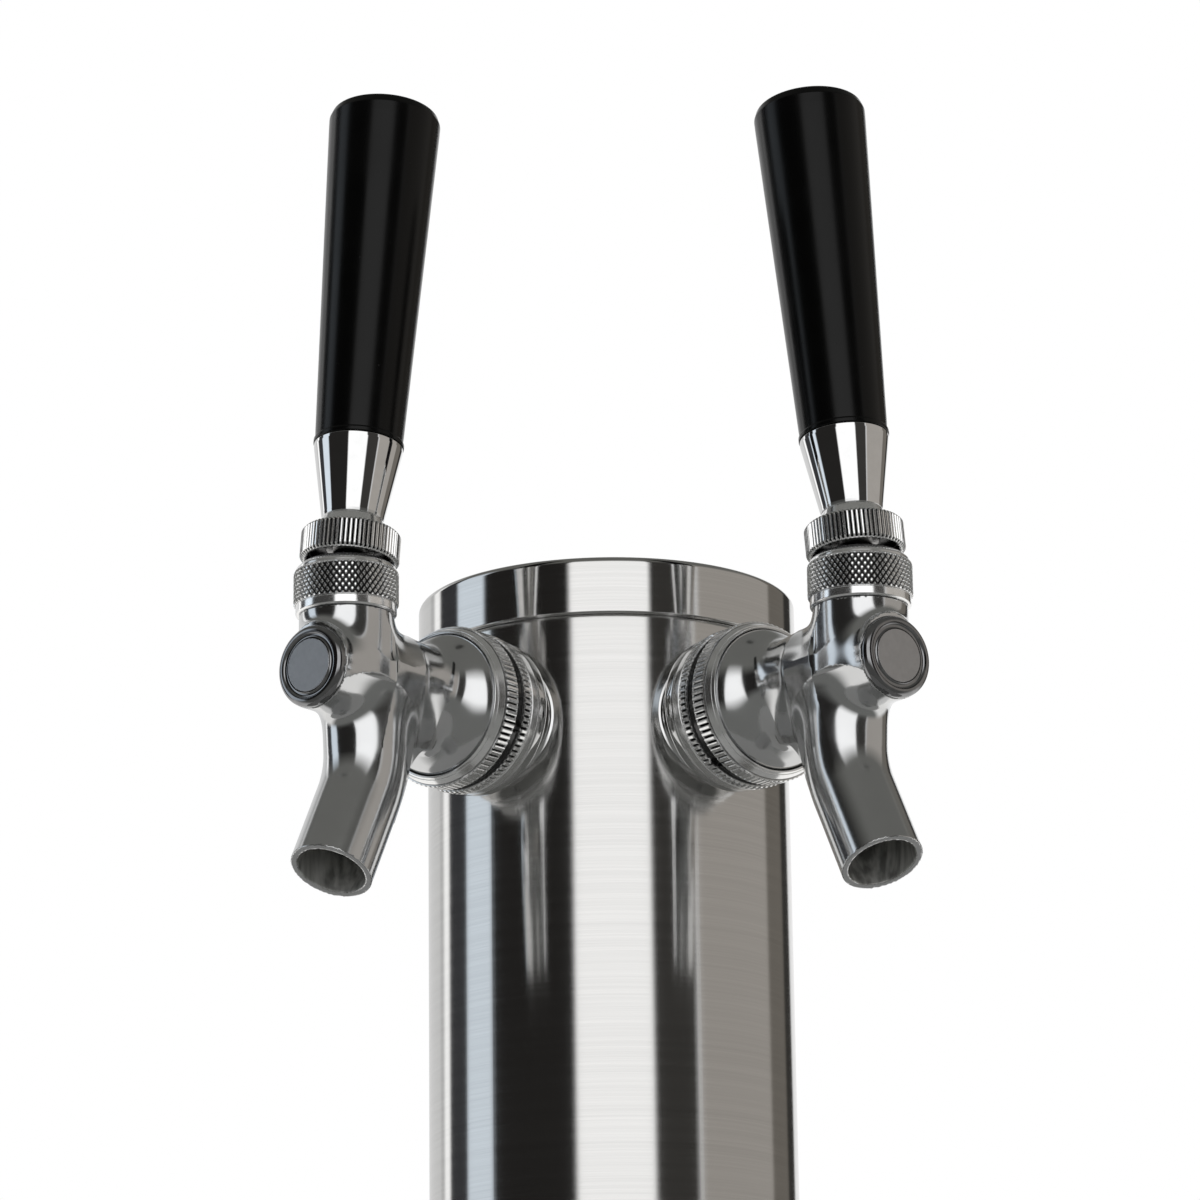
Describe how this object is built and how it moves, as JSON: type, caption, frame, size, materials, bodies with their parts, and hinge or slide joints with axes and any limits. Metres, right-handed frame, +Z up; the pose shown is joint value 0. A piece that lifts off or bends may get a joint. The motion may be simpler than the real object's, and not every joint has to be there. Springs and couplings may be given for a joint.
{
  "type": "beer tap tower",
  "caption": "Countertop beer tower: round polished steel column on a screw-down base, lift-off cap, and lever faucets with bent spouts and black handles.",
  "frame": {"origin": "centre of the base's underside, where the tower stands on the bar, on the column's axis", "axes": "+Z up the column, -Y to the front between the faucets, +X to the viewer's right; the left faucet is on the -X side"},
  "size_m": [0.13, 0.1467, 0.4462],
  "materials": {
    "column_steel": "polished with a fine horizontal grain",
    "cap_steel": "polished with a fine grain",
    "base_steel": "satin brushed",
    "polished_steel": "hand polished casting",
    "plug_steel": "turned",
    "turned_steel": "turned",
    "chrome_ring": "polished",
    "knurled_chrome": "knurled and plated",
    "mirror_chrome": "mirror plated",
    "black_plastic": "high gloss",
    "black_rubber": "matte",
    "foam": "matte closed-cell foam",
    "white_nylon": "smooth",
    "brass": "machined"
  },
  "bodies": {
    "tower": {"column_tube": "column_steel", "base_flange": "base_steel", "base_gasket": "black_rubber", "insulation_sleeve": "foam", "left_shank": "turned_steel", "left_shank_flange": "chrome_ring", "left_shank_locknut": "turned_steel", "left_elbow_tailpiece": "turned_steel", "left_coupling_nut": "knurled_chrome", "left_coupling_washer": "black_rubber", "left_faucet_body": "polished_steel", "left_front_plug": "plug_steel", "left_plug_oring": "black_rubber", "left_ball_washer": "white_nylon", "left_friction_washer": "white_nylon", "left_bonnet_nut": "knurled_chrome", "right_shank": "turned_steel", "right_shank_flange": "chrome_ring", "right_shank_locknut": "turned_steel", "right_elbow_tailpiece": "turned_steel", "right_coupling_nut": "knurled_chrome", "right_coupling_washer": "black_rubber", "right_faucet_body": "polished_steel", "right_front_plug": "plug_steel", "right_plug_oring": "black_rubber", "right_ball_washer": "white_nylon", "right_friction_washer": "white_nylon", "right_bonnet_nut": "knurled_chrome"},
    "cap": {"column_cap": "cap_steel"},
    "left_handle": {"left_lever": "turned_steel", "left_lever_collar": "knurled_chrome", "left_handle_insert": "brass", "left_handle_ferrule": "mirror_chrome", "left_handle_grip": "black_plastic"},
    "right_handle": {"right_lever": "turned_steel", "right_lever_collar": "knurled_chrome", "right_handle_insert": "brass", "right_handle_ferrule": "mirror_chrome", "right_handle_grip": "black_plastic"},
    "left_valve": {"left_valve_shaft": "turned_steel", "left_seat_washer": "black_rubber", "left_shaft_nut": "turned_steel"},
    "right_valve": {"right_valve_shaft": "turned_steel", "right_seat_washer": "black_rubber", "right_shaft_nut": "turned_steel"}
  },
  "joints": [
    {"name": "cap_lift", "type": "slide", "parent": "tower", "child": "cap", "axis": [0, 0, 1], "range_m": [0, 0.06]},
    {"name": "left_handle_pull", "type": "hinge", "parent": "tower", "child": "left_handle", "pos_m": [-0.05115, -0.06788, 0.338], "axis": [0.7986, -0.6018, 0], "range_deg": [0, 28]},
    {"name": "left_valve_slide", "type": "slide", "parent": "tower", "child": "left_valve", "axis": [0.6018, 0.7986, 0], "range_m": [0, 0.0068]},
    {"name": "right_handle_pull", "type": "hinge", "parent": "tower", "child": "right_handle", "pos_m": [0.05115, -0.06788, 0.338], "axis": [0.7986, 0.6018, 0], "range_deg": [0, 28]},
    {"name": "right_valve_slide", "type": "slide", "parent": "tower", "child": "right_valve", "axis": [-0.6018, 0.7986, 0], "range_m": [0, 0.0068]}
  ],
  "couplings": [
    {"joint": "left_valve_slide", "follows": "left_handle_pull", "m_per_rad": 0.013743},
    {"joint": "right_valve_slide", "follows": "right_handle_pull", "m_per_rad": 0.013743}
  ]
}
